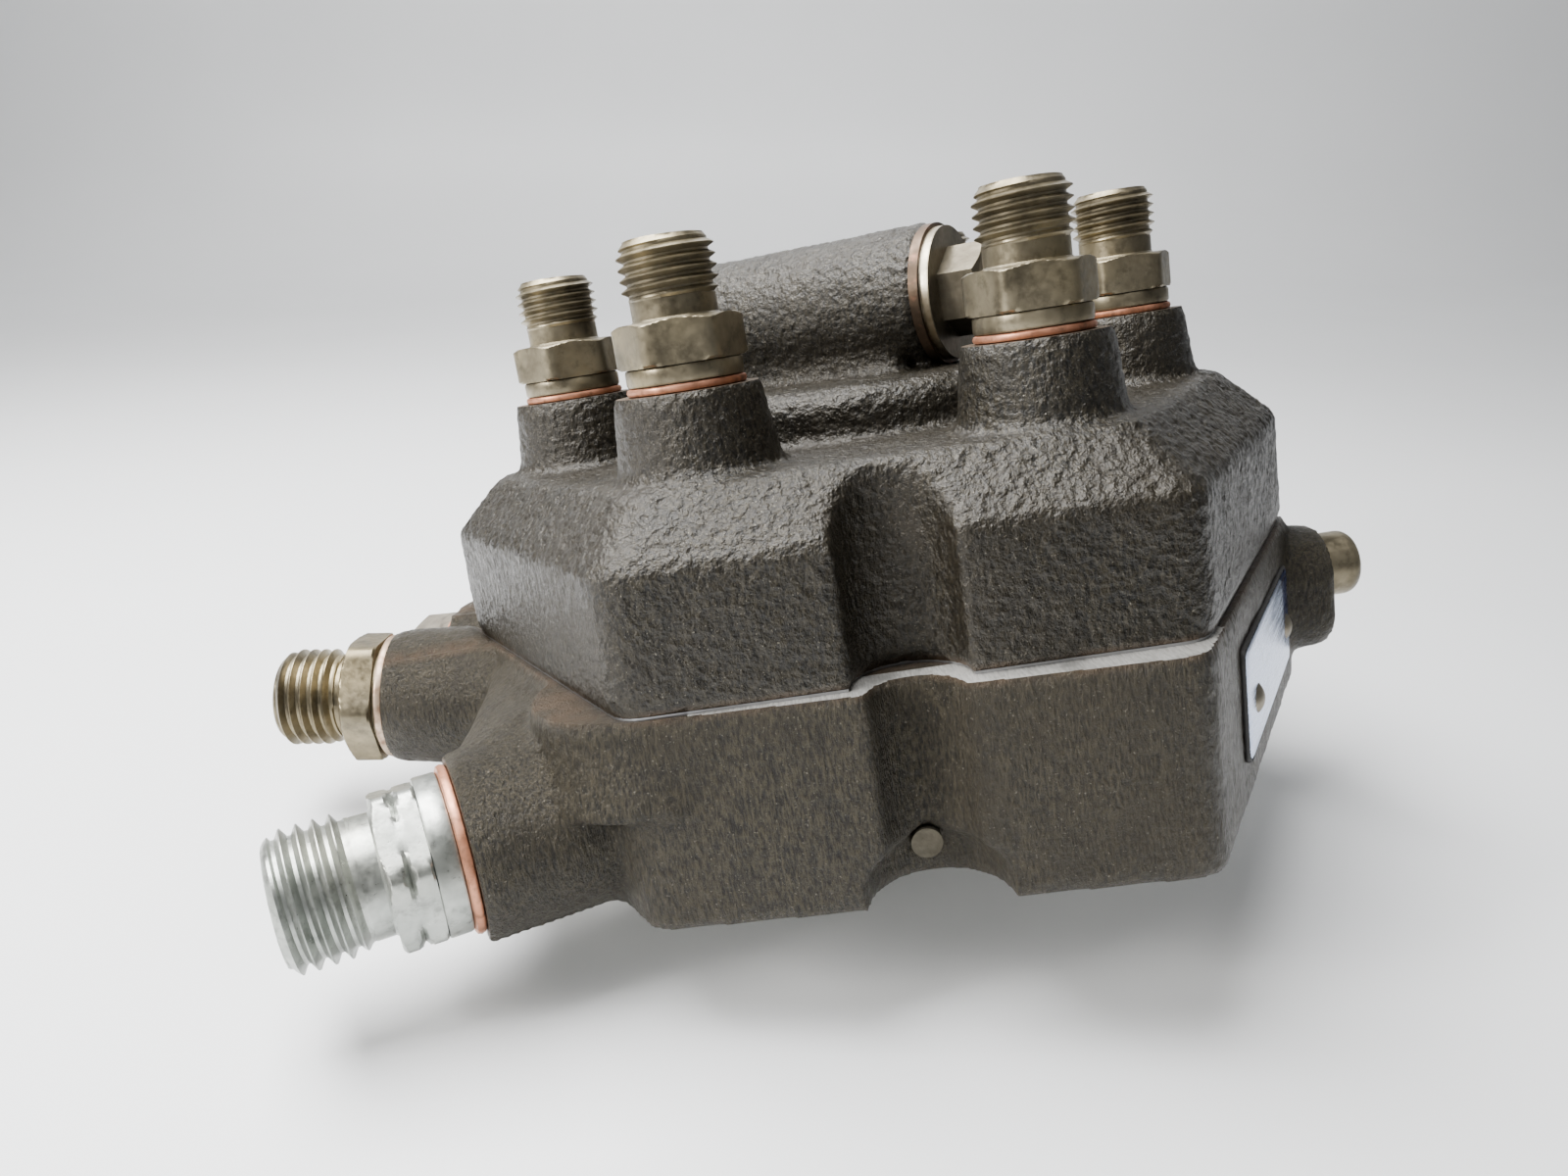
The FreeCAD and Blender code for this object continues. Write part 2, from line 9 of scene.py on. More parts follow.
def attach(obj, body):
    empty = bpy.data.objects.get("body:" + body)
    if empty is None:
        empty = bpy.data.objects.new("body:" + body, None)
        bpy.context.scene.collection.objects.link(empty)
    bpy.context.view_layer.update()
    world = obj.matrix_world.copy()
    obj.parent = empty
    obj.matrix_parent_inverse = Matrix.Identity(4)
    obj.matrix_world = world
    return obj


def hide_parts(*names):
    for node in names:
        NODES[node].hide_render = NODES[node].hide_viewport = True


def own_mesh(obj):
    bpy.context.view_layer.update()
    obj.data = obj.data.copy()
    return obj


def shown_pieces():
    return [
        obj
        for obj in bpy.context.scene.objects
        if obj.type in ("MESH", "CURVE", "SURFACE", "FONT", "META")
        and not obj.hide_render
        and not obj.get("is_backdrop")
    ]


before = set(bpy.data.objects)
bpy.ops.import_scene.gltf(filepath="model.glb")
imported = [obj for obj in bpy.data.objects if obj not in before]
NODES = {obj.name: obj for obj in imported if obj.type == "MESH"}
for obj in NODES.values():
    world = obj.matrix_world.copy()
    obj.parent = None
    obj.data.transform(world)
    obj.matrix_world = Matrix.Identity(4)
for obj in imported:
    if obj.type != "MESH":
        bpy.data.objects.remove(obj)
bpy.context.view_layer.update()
MM = 0.001

# Places on the part, in mm and degrees.
RING_R = 50.0
RING_ANGLES = (-120.0, -60.0, 0.0, 60.0, 120.0, 180.0)
HEX_TURNS = (4.7, -3.3, 1.0, 10.0, 17.0, 20.4)
BOSS_TOP = 72.0
JOINT_Z = 30.8
UPPER_JOINT_GAP = 0.4
INLET_AT, INLET_ANGLE = (-66.9, -56.4, 12.4), -155.0
CONTROL_AT, CONTROL_ANGLE, CONTROL_LIFT = (-92.8, -5.1, 22.0), 183.0, 8.5
STUB_AT, STUB_ANGLE = (82.4, 0.0, 19.2), 0.0
REAR_PLUG_AT, REAR_PLUG_ANGLE = (-87.0, 25.0, 17.0), 168.0
REG_ANGLE, REG_Z, REG_RIGHT = -30.0, 80.2, 19.0
PLATE_ANGLE = -30.0
BARREL_HOLD = 10.8      # radius round the axis where the castings stay as drawn

VOXEL = 0.66
ROUNDS = 12

# Camera: azimuth, downward pitch and roll in degrees, place in mm.
CAMERA_TURN = (-2.24, 13.06, -8.74)
CAMERA_AT = (-9.48, -201.16, 77.54)
CAMERA_LENS = 24.81

# Stage, in metres: the wall stands far enough back for a view from behind.
FLOOR_NORMAL = (0.152, -0.138, 0.979)
FLOOR_FRONT, FLOOR_HALF = -1.6, 2.2
WALL_AT, WALL_BEND, WALL_TOP, WALL_STEPS = 1.3, 0.3, 1.6, 16


# ---- camera ------------------------------------------------------------------------------
def add_camera():
    az, pitch, roll = (math.radians(a) for a in CAMERA_TURN)
    fwd = Vector((math.sin(az) * math.cos(pitch), math.cos(az) * math.cos(pitch), -math.sin(pitch)))
    right = Vector((math.cos(az), -math.sin(az), 0.0))
    up = right.cross(fwd)
    r2 = right * math.cos(roll) + up * math.sin(roll)
    u2 = up * math.cos(roll) - right * math.sin(roll)
    cam = bpy.data.cameras.new("camera")
    cam.sensor_width = 36.0
    cam.lens = CAMERA_LENS
    cam.clip_start = 0.005
    cam.clip_end = 50.0
    ob = bpy.data.objects.new("camera", cam)
    m = Matrix((r2, u2, -fwd)).transposed().to_4x4()
    m.translation = Vector(CAMERA_AT) * MM
    ob.matrix_world = m
    bpy.context.scene.collection.objects.link(ob)
    bpy.context.scene.camera = ob


# ---- node helpers ------------------------------------------------------------------------
class Graph:
    """Small wrapper that makes shader nodes and joins them."""

    def __init__(self, name):
        self.mat = bpy.data.materials.new(name)
        self.mat.use_nodes = True
        self.t = self.mat.node_tree
        self.t.nodes.clear()
        self.out = self.t.nodes.new("ShaderNodeOutputMaterial")
        self.bsdf = self.t.nodes.new("ShaderNodeBsdfPrincipled")
        self.t.links.new(self.bsdf.outputs[0], self.out.inputs[0])
        self.coord = self.t.nodes.new("ShaderNodeTexCoord").outputs["Object"]

    def link(self, a, b):
        self.t.links.new(a, b)

    def put(self, socket, value):
        if hasattr(value, "is_output"):
            self.link(value, socket)
        else:
            socket.default_value = value

    def node(self, kind, **settings):
        n = self.t.nodes.new(kind)
        for k, v in settings.items():
            setattr(n, k, v)
        return n

    def noise(self, scale, detail=4.0, rough=0.55, vec=None):
        n = self.node("ShaderNodeTexNoise")
        n.inputs["Scale"].default_value = scale
        n.inputs["Detail"].default_value = detail
        n.inputs["Roughness"].default_value = rough
        n.inputs["Distortion"].default_value = 0.0
        self.link(vec or self.coord, n.inputs["Vector"])
        return n.outputs["Fac"]

    def ramp(self, fac, stops):
        n = self.node("ShaderNodeValToRGB")
        n.color_ramp.interpolation = "LINEAR"
        e = n.color_ramp.elements
        while len(e) < len(stops):
            e.new(0.5)
        for el, (p, c) in zip(e, stops):
            el.position = p
            el.color = (c, c, c, 1.0) if isinstance(c, (int, float)) else (*c, 1.0)
        self.put(n.inputs[0], fac)
        return n.outputs["Color"]

    def mix(self, fac, a, b):
        n = self.node("ShaderNodeMix", data_type="RGBA", blend_type="MIX")
        self.put(n.inputs[0], fac)
        for s, v in ((n.inputs[6], a), (n.inputs[7], b)):
            self.put(s, (*v, 1.0) if isinstance(v, tuple) and len(v) == 3 else v)
        return n.outputs[2]

    def math(self, op, a, b=0.0, clamp=False):
        n = self.node("ShaderNodeMath", operation=op, use_clamp=clamp)
        self.put(n.inputs[0], a)
        self.put(n.inputs[1], b)
        return n.outputs[0]

    def scaled(self, x, y, z):
        n = self.node("ShaderNodeMapping")
        n.inputs["Scale"].default_value = (x, y, z)
        self.link(self.coord, n.inputs["Vector"])
        return n.outputs["Vector"]

    def bump(self, height, strength, distance):
        n = self.node("ShaderNodeBump")
        n.inputs["Strength"].default_value = strength
        n.inputs["Distance"].default_value = distance
        self.link(height, n.inputs["Height"])
        self.link(n.outputs[0], self.bsdf.inputs["Normal"])
        return n

    def set(self, **kw):
        for k, v in kw.items():
            self.put(self.bsdf.inputs[k.replace("_", " ")], v)


RUST_HEIGHT = 0.0311    # metres; rust runs along the joint of the castings


def cast_iron(name, dark, light, tint, streak, scale, film_rough, film, relief):
    """Bare casting skin: fibrous grain, lumps, painted glints of highlight, an oily film and rust
    close to the joint.
    """
    g = Graph(name)
    vec = g.scaled(1.0, 1.0, streak)
    grain = g.noise(scale, 5.0, 0.68, vec=vec)
    lumps = g.noise(780.0, 3.0, 0.55)
    mid = g.noise(150.0, 5.0, 0.65, vec=vec)
    broad = g.noise(34.0, 4.0, 0.6)
    base = g.mix(g.ramp(grain, [(0.40, 0.0), (0.62, 1.0)]), dark, light)
    base = g.mix(g.ramp(mid, [(0.48, 0.0), (0.66, 0.42)]), base, tuple(c * 1.2 for c in dark))
    base = g.mix(g.ramp(broad, [(0.42, 0.0), (0.66, 0.55)]), base, tint)
    # painted highlight: small pale flecks in the base colour stand in for glints on the grain
    painted_glint = g.ramp(g.noise(2700.0, 3.0, 0.6), [(0.64, 0.0), (0.72, 0.7)])
    base = g.mix(painted_glint, base, (0.21, 0.19, 0.15))
    sep = g.node("ShaderNodeSeparateXYZ")
    g.link(g.coord, sep.inputs[0])
    off = g.math("ABSOLUTE", g.math("SUBTRACT", sep.outputs[2], RUST_HEIGHT))
    edge = g.ramp(g.math("MULTIPLY", off, 250.0), [(0.0, 0.60), (0.32, 0.0)])
    spots = g.ramp(g.noise(210.0, 4.0, 0.6), [(0.38, 0.2), (0.60, 1.0)])
    rust = g.math("MULTIPLY", edge, spots)
    base = g.mix(rust, base, (0.092, 0.054, 0.028))
    g.set(Base_Color=base, Metallic=0.45,
          Coat_Weight=film, Coat_Roughness=film_rough, Coat_IOR=1.45)
    g.link(g.ramp(lumps, [(0.34, 0.50), (0.66, 0.34)]), g.bsdf.inputs["Roughness"])
    h = g.math("ADD", g.math("MULTIPLY", grain, relief[0]), g.math("MULTIPLY", lumps, relief[1]))
    bump = g.bump(h, 1.0, 0.0007)
    g.link(bump.outputs[0], g.bsdf.inputs["Coat Normal"])
    return g.mat


def milled(name, dark, light, direction, rough=0.30):
    """Machined iron: straight tool marks, dull stains."""
    g = Graph(name)
    marks = g.noise(2400.0, 2.0, 0.5, vec=g.scaled(*direction))
    base = g.mix(g.ramp(marks, [(0.35, 0.0), (0.66, 1.0)]), dark, light)
    stain = g.ramp(g.noise(160.0, 4.0, 0.6), [(0.48, 0.0), (0.70, 0.7)])
    base = g.mix(stain, base, tuple(c * 0.45 for c in dark))
    g.set(Base_Color=base, Metallic=0.8)
    g.link(g.ramp(marks, [(0.3, rough + 0.16), (0.7, rough)]), g.bsdf.inputs["Roughness"])
    g.bump(marks, 0.25, 0.00015)
    return g.mat


def plated(name, dark, light, tint, rough=(0.36, 0.55), metallic=0.85, bump=0.12):
    """Plating with broad patches of tint and fine dirt."""
    g = Graph(name)
    broad = g.noise(120.0, 4.0, 0.6)
    fine = g.noise(900.0, 4.0, 0.6)
    base = g.mix(g.ramp(broad, [(0.35, 0.0), (0.68, 1.0)]), dark, light)
    base = g.mix(g.ramp(g.noise(60.0, 3.0, 0.5), [(0.45, 0.0), (0.75, 0.7)]), base, tint)
    dirt = g.ramp(g.noise(340.0, 5.0, 0.65), [(0.52, 0.0), (0.66, 1.0)])
    base = g.mix(g.math("MULTIPLY", dirt, 0.45), base, tuple(c * 0.35 for c in dark))
    g.set(Base_Color=base, Metallic=metallic)
    g.link(g.ramp(fine, [(0.3, rough[0]), (0.7, rough[1])]), g.bsdf.inputs["Roughness"])
    g.bump(fine, bump, 0.0002)
    return g.mat


def copper(name, dark, light):
    """Used copper with brown stains."""
    g = Graph(name)
    a = g.mix(g.ramp(g.noise(180.0, 4.0, 0.6), [(0.35, 0.0), (0.68, 1.0)]), dark, light)
    stain = g.ramp(g.noise(420.0, 4.0, 0.6), [(0.50, 0.0), (0.68, 0.8)])
    a = g.mix(stain, a, (0.16, 0.08, 0.05))
    g.set(Base_Color=a, Metallic=0.8)
    g.link(g.ramp(g.noise(600.0), [(0.3, 0.34), (0.7, 0.55)]), g.bsdf.inputs["Roughness"])
    g.bump(g.noise(700.0, 4.0), 0.15, 0.0002)
    return g.mat


def ground_steel(name, tone=(0.50, 0.50, 0.51), rough=0.28):
    """Bright steel with fine grinding marks round its axis."""
    g = Graph(name)
    fine = g.noise(1400.0, 3.0, 0.5, vec=g.scaled(0.15, 0.15, 1.0))
    a = g.mix(g.ramp(fine, [(0.3, 0.0), (0.7, 1.0)]), tuple(c * 0.8 for c in tone), tone)
    g.set(Base_Color=a, Metallic=1.0)
    g.link(g.ramp(fine, [(0.3, rough), (0.7, rough + 0.12)]), g.bsdf.inputs["Roughness"])
    g.bump(fine, 0.08, 0.0001)
    return g.mat


def rubber(name):
    g = Graph(name)
    a = g.mix(g.noise(500.0), (0.010, 0.010, 0.010), (0.030, 0.028, 0.026))
    g.set(Base_Color=a, Roughness=0.62)
    g.bump(g.noise(900.0), 0.1, 0.0001)
    return g.mat


def along(g, x, y, z=0.0):
    """Distance in mm along a direction, from the object's own coordinates."""
    n = g.node("ShaderNodeVectorMath", operation="DOT_PRODUCT")
    g.link(g.coord, n.inputs[0])
    n.inputs[1].default_value = (1000.0 * x, 1000.0 * y, 1000.0 * z)
    return n.outputs["Value"]


def window(g, value, low, high, soft):
    """1 where low < value < high."""
    a = g.math("DIVIDE", g.math("SUBTRACT", value, low), soft, clamp=True)
    b = g.math("DIVIDE", g.math("SUBTRACT", high, value), soft, clamp=True)
    return g.math("MULTIPLY", a, b)


def plug_metal(name):
    """Dull hexagon with a flange that was turned bright."""
    g = Graph(name)
    broad = g.ramp(g.noise(130.0, 4.0, 0.6), [(0.35, 0.0), (0.68, 1.0)])
    dull = g.mix(broad, (0.105, 0.090, 0.062), (0.235, 0.205, 0.150))
    bright = g.mix(broad, (0.24, 0.19, 0.12), (0.60, 0.54, 0.42))
    ca, sa = math.cos(math.radians(REG_ANGLE)), math.sin(math.radians(REG_ANGLE))
    on = window(g, along(g, ca, sa), REG_RIGHT + 1.0, REG_RIGHT + 3.1, 0.15)
    g.set(Base_Color=g.mix(on, dull, bright), Metallic=0.9)
    g.link(g.ramp(g.noise(900.0), [(0.3, 0.30), (0.7, 0.46)]), g.bsdf.inputs["Roughness"])
    g.bump(g.noise(1300.0, 3.0), 0.2, 0.0002)
    return g.mat


def plate_metal(name):
    """Rolled aluminium with fine lines, a blue field at the rear end and blots of dirt."""
    g = Graph(name)
    lines = g.noise(1500.0, 3.0, 0.5, vec=g.scaled(0.05, 0.05, 1.0))
    a = g.mix(g.ramp(lines, [(0.3, 0.0), (0.7, 1.0)]), (0.42, 0.51, 0.72), (0.68, 0.76, 0.93))
    s = along(g, 0.5, 0.866)
    z = along(g, 0.0, 0.0, 1.0)
    field = g.math("MULTIPLY", window(g, s, 18.0, 40.0, 0.5), window(g, z, 12.0, 30.0, 0.5))
    a = g.mix(field, a, (0.035, 0.060, 0.20))
    blot = g.ramp(g.noise(240.0, 4.0), [(0.54, 0.0), (0.66, 1.0)])
    a = g.mix(g.math("MULTIPLY", blot, 0.30), a, (0.26, 0.28, 0.32))
    g.set(Base_Color=a, Metallic=0.9)
    g.link(g.ramp(lines, [(0.3, 0.20), (0.7, 0.33)]), g.bsdf.inputs["Roughness"])
    g.bump(lines, 0.08, 0.0001)
    return g.mat


MATS = {
    "iron_low": cast_iron("iron_low", (0.0070, 0.0056, 0.0032), (0.056, 0.046, 0.027),
                          (0.028, 0.021, 0.010), 0.26, 2400.0, 0.30, 0.12, (0.80, 0.62)),
    "iron_up": cast_iron("iron_up", (0.0050, 0.0041, 0.0026), (0.034, 0.028, 0.017),
                         (0.021, 0.016, 0.009), 0.45, 1900.0, 0.22, 0.17, (0.26, 0.90)),
    "milled": milled("milled", (0.50, 0.49, 0.46), (0.86, 0.85, 0.81), (1.0, 0.15, 1.0), 0.36),
    "lip": milled("lip", (0.060, 0.042, 0.028), (0.15, 0.11, 0.075), (1.0, 1.0, 1.0), 0.5),
    "zinc_clear": plated("zinc_clear", (0.27, 0.285, 0.26), (0.50, 0.52, 0.49),
                         (0.33, 0.32, 0.26), rough=(0.26, 0.46)),
    "zinc_yellow": plated("zinc_yellow", (0.125, 0.106, 0.070), (0.310, 0.268, 0.182),
                          (0.240, 0.185, 0.080), rough=(0.28, 0.46)),
    "zinc_dull": plated("zinc_dull", (0.12, 0.105, 0.085), (0.27, 0.245, 0.20),
                        (0.18, 0.14, 0.09), rough=(0.40, 0.60)),
    "copper": copper("copper", (0.42, 0.17, 0.09), (0.68, 0.33, 0.21)),
    "copper_pale": copper("copper_pale", (0.40, 0.28, 0.19), (0.60, 0.47, 0.36)),
    "copper_brown": copper("copper_brown", (0.050, 0.034, 0.022), (0.105, 0.068, 0.042)),
    "plug": plug_metal("plug"),
    "lead": plated("lead", (0.050, 0.045, 0.033), (0.15, 0.14, 0.11), (0.08, 0.065, 0.042),
                   rough=(0.45, 0.7), bump=0.5),
    # near-black rubber for the dark bead round the type plate, painted shade of the gap
    "shade_bead": rubber("shade_bead"),
    "steel": ground_steel("steel"),
    "spring": ground_steel("spring", (0.36, 0.36, 0.37), 0.34),
    "rubber": rubber("rubber"),
    "gauze": plated("gauze", (0.35, 0.26, 0.12), (0.60, 0.46, 0.22), (0.40, 0.28, 0.12)),
    "black": plated("black", (0.020, 0.020, 0.021), (0.05, 0.05, 0.05), (0.04, 0.03, 0.025),
                    rough=(0.42, 0.6), metallic=0.6),
    "plate": plate_metal("plate"),
    "rivet": plated("rivet", (0.20, 0.18, 0.14), (0.36, 0.32, 0.25), (0.22, 0.16, 0.09)),
}


def paint(ob, key):
    ob.data.materials.clear()
    ob.data.materials.append(MATS[key])


# ---- mesh helpers ------------------------------------------------------------------------
def new_object(name, verts, faces, key, body="housing", smooth_deg=40.0):
    me = bpy.data.meshes.new(name)
    me.from_pydata([tuple(v) for v in verts], [], faces)
    ob = bpy.data.objects.new(name, me)
    bpy.context.scene.collection.objects.link(ob)
    bm = bmesh.new()
    bm.from_mesh(me)
    bmesh.ops.remove_doubles(bm, verts=bm.verts, dist=2e-6)
    bmesh.ops.dissolve_degenerate(bm, edges=bm.edges, dist=1e-6)
    bmesh.ops.recalc_face_normals(bm, faces=bm.faces)
    bm.to_mesh(me)
    bm.free()
    shade(ob, smooth_deg)
    paint(ob, key)
    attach(ob, body)
    return ob


def shade(ob, deg):
    me = ob.data
    me.polygons.foreach_set("use_smooth", [True] * len(me.polygons))
    me.set_sharp_from_angle(angle=math.radians(deg))


def place(points, at, angle, lay=True, lift=0.0):
    """Points built along +Z, moved to a position in mm; laid on an azimuth if asked."""
    p = np.asarray(points, float)
    if lay:
        a = math.radians(angle)
        e = math.radians(90.0 - lift)
        x, y, z = p[:, 0], p[:, 1], p[:, 2]
        lx = x * math.cos(e) + z * math.sin(e)
        lz = -x * math.sin(e) + z * math.cos(e)
        p = np.stack([lx * math.cos(a) - y * math.sin(a),
                      lx * math.sin(a) + y * math.cos(a), lz], 1)
    return (p + np.array(at)) * MM


def hex_radius(theta, af, soft=0.35):
    """Radius of a hexagon across its flats af at angle theta, corners eased by soft mm."""
    t = (theta + math.pi / 6) % (math.pi / 3) - math.pi / 6
    r = (af / 2) / np.cos(t)
    rc = af / math.sqrt(3.0) - soft
    k = 6.0
    return -np.log(np.exp(-k * r) + np.exp(-k * rc)) / k


def fitting(name, spec, at, angle, lay, key, node):
    """A union: shank, round collar, hexagon, neck and a real helical thread, bored through."""
    t = spec
    n = t.get("n", 132)
    th = np.linspace(0, 2 * math.pi, n + 1)
    rows = []

    def ring(z, r):
        rows.append((np.full(n + 1, float(z)), r * np.ones(n + 1)))

    z0 = t["washer"]
    ring(-t["shank_l"], t["shank_r"] - 0.4)
    ring(-t["shank_l"] + 0.4, t["shank_r"] - 0.02)
    ring(z0 + 0.02, t["shank_r"] - 0.02)
    cr = t["collar_r"]
    ring(z0 + 0.02, cr - 0.45)
    ring(z0 + 0.14, cr - 0.14)
    ring(z0 + 0.45, cr)
    z1 = z0 + t["collar_t"]
    ring(z1 - 0.5, cr)
    ring(z1 - 0.15, cr - 0.12)
    ring(z1, cr - 0.45)
    ang = math.radians(t["turn"])
    hexr = hex_radius(th - ang, t["af"])
    rc = t["af"] / math.sqrt(3.0)
    z2 = z1 + t["hex_t"]
    cham = t.get("chamfer", 0.9)
    ring(z1, np.minimum(hexr, cr) - 0.5)

    def hexring(z, fall):
        rows.append((np.full(n + 1, float(z)), np.minimum(hexr, rc - fall)))

    hexring(z1 + 0.02, 0.9)
    hexring(z1 + 0.35, 0.35)
    hexring(z1 + 0.7, 0.0)
    if t.get("notch"):
        mid = 0.5 * (z1 + z2)
        for dz, d in ((-1.0, 0.0), (-0.5, 0.9), (0.0, 1.7), (0.5, 0.9), (1.0, 0.0)):
            hexring(mid + dz, d)
    for k in range(6):
        u = k / 5.0
        hexring(z2 - cham * (1 - u), 1.9 * cham * u)
    ring(z2, t["neck_r"] + 0.35)
    ring(z2 + 0.35, t["neck_r"])
    z3 = z2 + t["neck_t"]
    z4 = z3 + t["thread_t"]
    ring(z3 - 0.01, t["neck_r"])
    # thread rows follow the helix and are clamped between the run-out and the end
    p, major, depth = t["pitch"], t["thread_r"], t["depth"]
    root = major - depth
    turns = int(math.ceil((z4 - z3) / p)) + 2
    for m in range(turns):
        for frac, high in ((0.00, 0.0), (0.12, 0.0), (0.28, 0.45), (0.47, 1.0), (0.55, 1.0),
                           (0.74, 0.45), (0.90, 0.0)):
            z = z3 + p * (m - 1 + frac) + p * th / (2 * math.pi)
            zc = np.clip(z, z3, z4)
            h = np.full(n + 1, high)
            run_in = np.clip((z - z3) / (0.9 * p), 0.0, 1.0)
            r = root + depth * h * run_in
            r = np.where(z <= z3, t["neck_r"], np.maximum(r, min(root, t["neck_r"])))
            lead = major - 0.25 - (zc - (z4 - 1.3)) * 0.95
            r = np.minimum(r, np.maximum(lead, root - 0.35))
            r = np.where(z >= z4, np.minimum(root - 0.35, major - 1.4), r)
            rows.append((zc, r))
    mouth = t["mouth_r"]
    top_r = min(root - 0.35, major - 1.4)
    ring(z4, top_r)
    ring(z4, mouth + 0.25)
    ring(z4 - 0.25, mouth)
    ring(z4 - (mouth - t["bore_r"]) * 1.6, t["bore_r"])
    ring(-t["shank_l"], t["bore_r"])
    pts = []
    for z, r in rows:
        pts.append(np.stack([r * np.cos(th), r * np.sin(th), z], 1))
    pts = np.array(pts)
    w = n + 1
    faces = []
    total = len(rows)
    for i in range(total):
        j = (i + 1) % total
        for c in range(n):
            faces.append((i * w + c, i * w + c + 1, j * w + c + 1, j * w + c))
    pts = place(pts.reshape(-1, 3), at, angle, lay, t.get("lift", 0.0))
    ob = new_object(name, pts, faces, key, smooth_deg=32.0)
    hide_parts(node)
    return ob


def washer(r_out, r_in, t, seed=0.0):
    """A used copper washer: rounded rim, slightly wavy."""
    n = 96
    prof = []
    e = t * 0.42
    for k in range(5):
        a = -math.pi / 2 + math.pi * k / 4
        prof.append((r_out - e + e * math.cos(a), t / 2 + (t / 2 - 0.01) * math.sin(a)))
    prof += [(r_in + 0.2, t - 0.01), (r_in, t - 0.2), (r_in, 0.2), (r_in + 0.2, 0.01)]
    pts = []
    for i in range(n):
        a = 2 * math.pi * i / n
        wob = noise.noise(Vector((math.cos(a) * 2 + seed, math.sin(a) * 2, 0))) * 0.10
        for r, z in prof:
            rr = r + (wob if r > (r_out + r_in) / 2 else 0)
            pts.append((rr * math.cos(a), rr * math.sin(a), z))
    m = len(prof)
    faces = []
    for i in range(n):
        j = (i + 1) % n
        for k in range(m):
            q = (k + 1) % m
            faces.append((i * m + k, j * m + k, j * m + q, i * m + q))
    return pts, faces


def ring_point(angle):
    """Place of an outlet on its ring, in mm."""
    return RING_R * math.cos(math.radians(angle)), RING_R * math.sin(math.radians(angle))


# ---- castings ----------------------------------------------------------------------------
def axis_frame(at, angle, lift=0.0):
    """Point in mm and unit vector of an axis."""
    a, e = math.radians(angle), math.radians(lift)
    u = np.array([math.cos(a) * math.cos(e), math.sin(a) * math.cos(e), math.sin(e)])
    return np.array(at, float), u


def flats_lower():
    """(point, outward normal, reach in mm) of the machined faces of the lower casting."""
    out = [((0.0, 0.0, JOINT_Z), (0.0, 0.0, 1.0), 200.0),
           ((0.0, 0.0, 0.0), (0.0, 0.0, -1.0), 200.0)]
    for at, ang, lift, reach in ((INLET_AT, INLET_ANGLE, 0.0, 15.5),
                                 (CONTROL_AT, CONTROL_ANGLE, CONTROL_LIFT, 13.5),
                                 (STUB_AT, STUB_ANGLE, 0.0, 14.0),
                                 (REAR_PLUG_AT, REAR_PLUG_ANGLE, 0.0, 16.0)):
        p, u = axis_frame(at, ang, lift)
        out.append((tuple(p), tuple(u), reach))
    return out


def flats_upper():
    """The same for the upper casting: joint, outlet bosses and the end of the regulator."""
    out = [((0.0, 0.0, JOINT_Z + UPPER_JOINT_GAP), (0.0, 0.0, -1.0), 200.0)]
    for a in RING_ANGLES:
        x, y = ring_point(a)
        out.append(((x, y, BOSS_TOP), (0.0, 0.0, 1.0), 12.5))
    p, u = axis_frame((0.0, 0.0, REG_Z), REG_ANGLE)
    out.append((tuple(p + u * REG_RIGHT), tuple(u), 12.8))
    return out


def plane_heights(co, point, normal):
    """Distance of each point along the normal, and from the plane's centre within the plane."""
    d = co - np.array(point)
    h = d @ np.array(normal)
    return h, np.sqrt(np.maximum((d * d).sum(1) - h * h, 0.0))


def neighbours_mean(co, edges, deg):
    """Mean of the neighbours of each vertex."""
    acc = np.zeros_like(co)
    for k in range(3):
        acc[:, k] = np.bincount(edges[:, 0], co[edges[:, 1], k], len(co)) \
            + np.bincount(edges[:, 1], co[edges[:, 0], k], len(co))
    return acc / np.maximum(deg, 1)


def skin_lift(co, nor, wrinkle, grain):
    """Height of the casting skin: broad waves, wrinkles on slopes that face up, fine grain."""
    out = np.zeros(len(co))
    up = np.clip(nor[:, 2] * 1.6, 0.0, 1.0)
    for i, c in enumerate(co):
        v = Vector(c)
        broad = noise.noise(v * 0.11 + Vector((3, 9, 5)))
        warp = Vector((v.x * 0.55, v.y * 0.55, v.z * 0.80))
        ridge = 1.0 - abs(noise.noise(warp) * 1.6 + noise.noise(v * 1.1) * 0.8)
        fine = noise.noise(Vector((v.x * 1.25, v.y * 1.25, v.z * 0.75)) + Vector((7, 3, 1)))
        out[i] = broad * 0.26 + (ridge - 0.62) * wrinkle * (0.35 + 0.65 * up[i]) + fine * grain
    return out


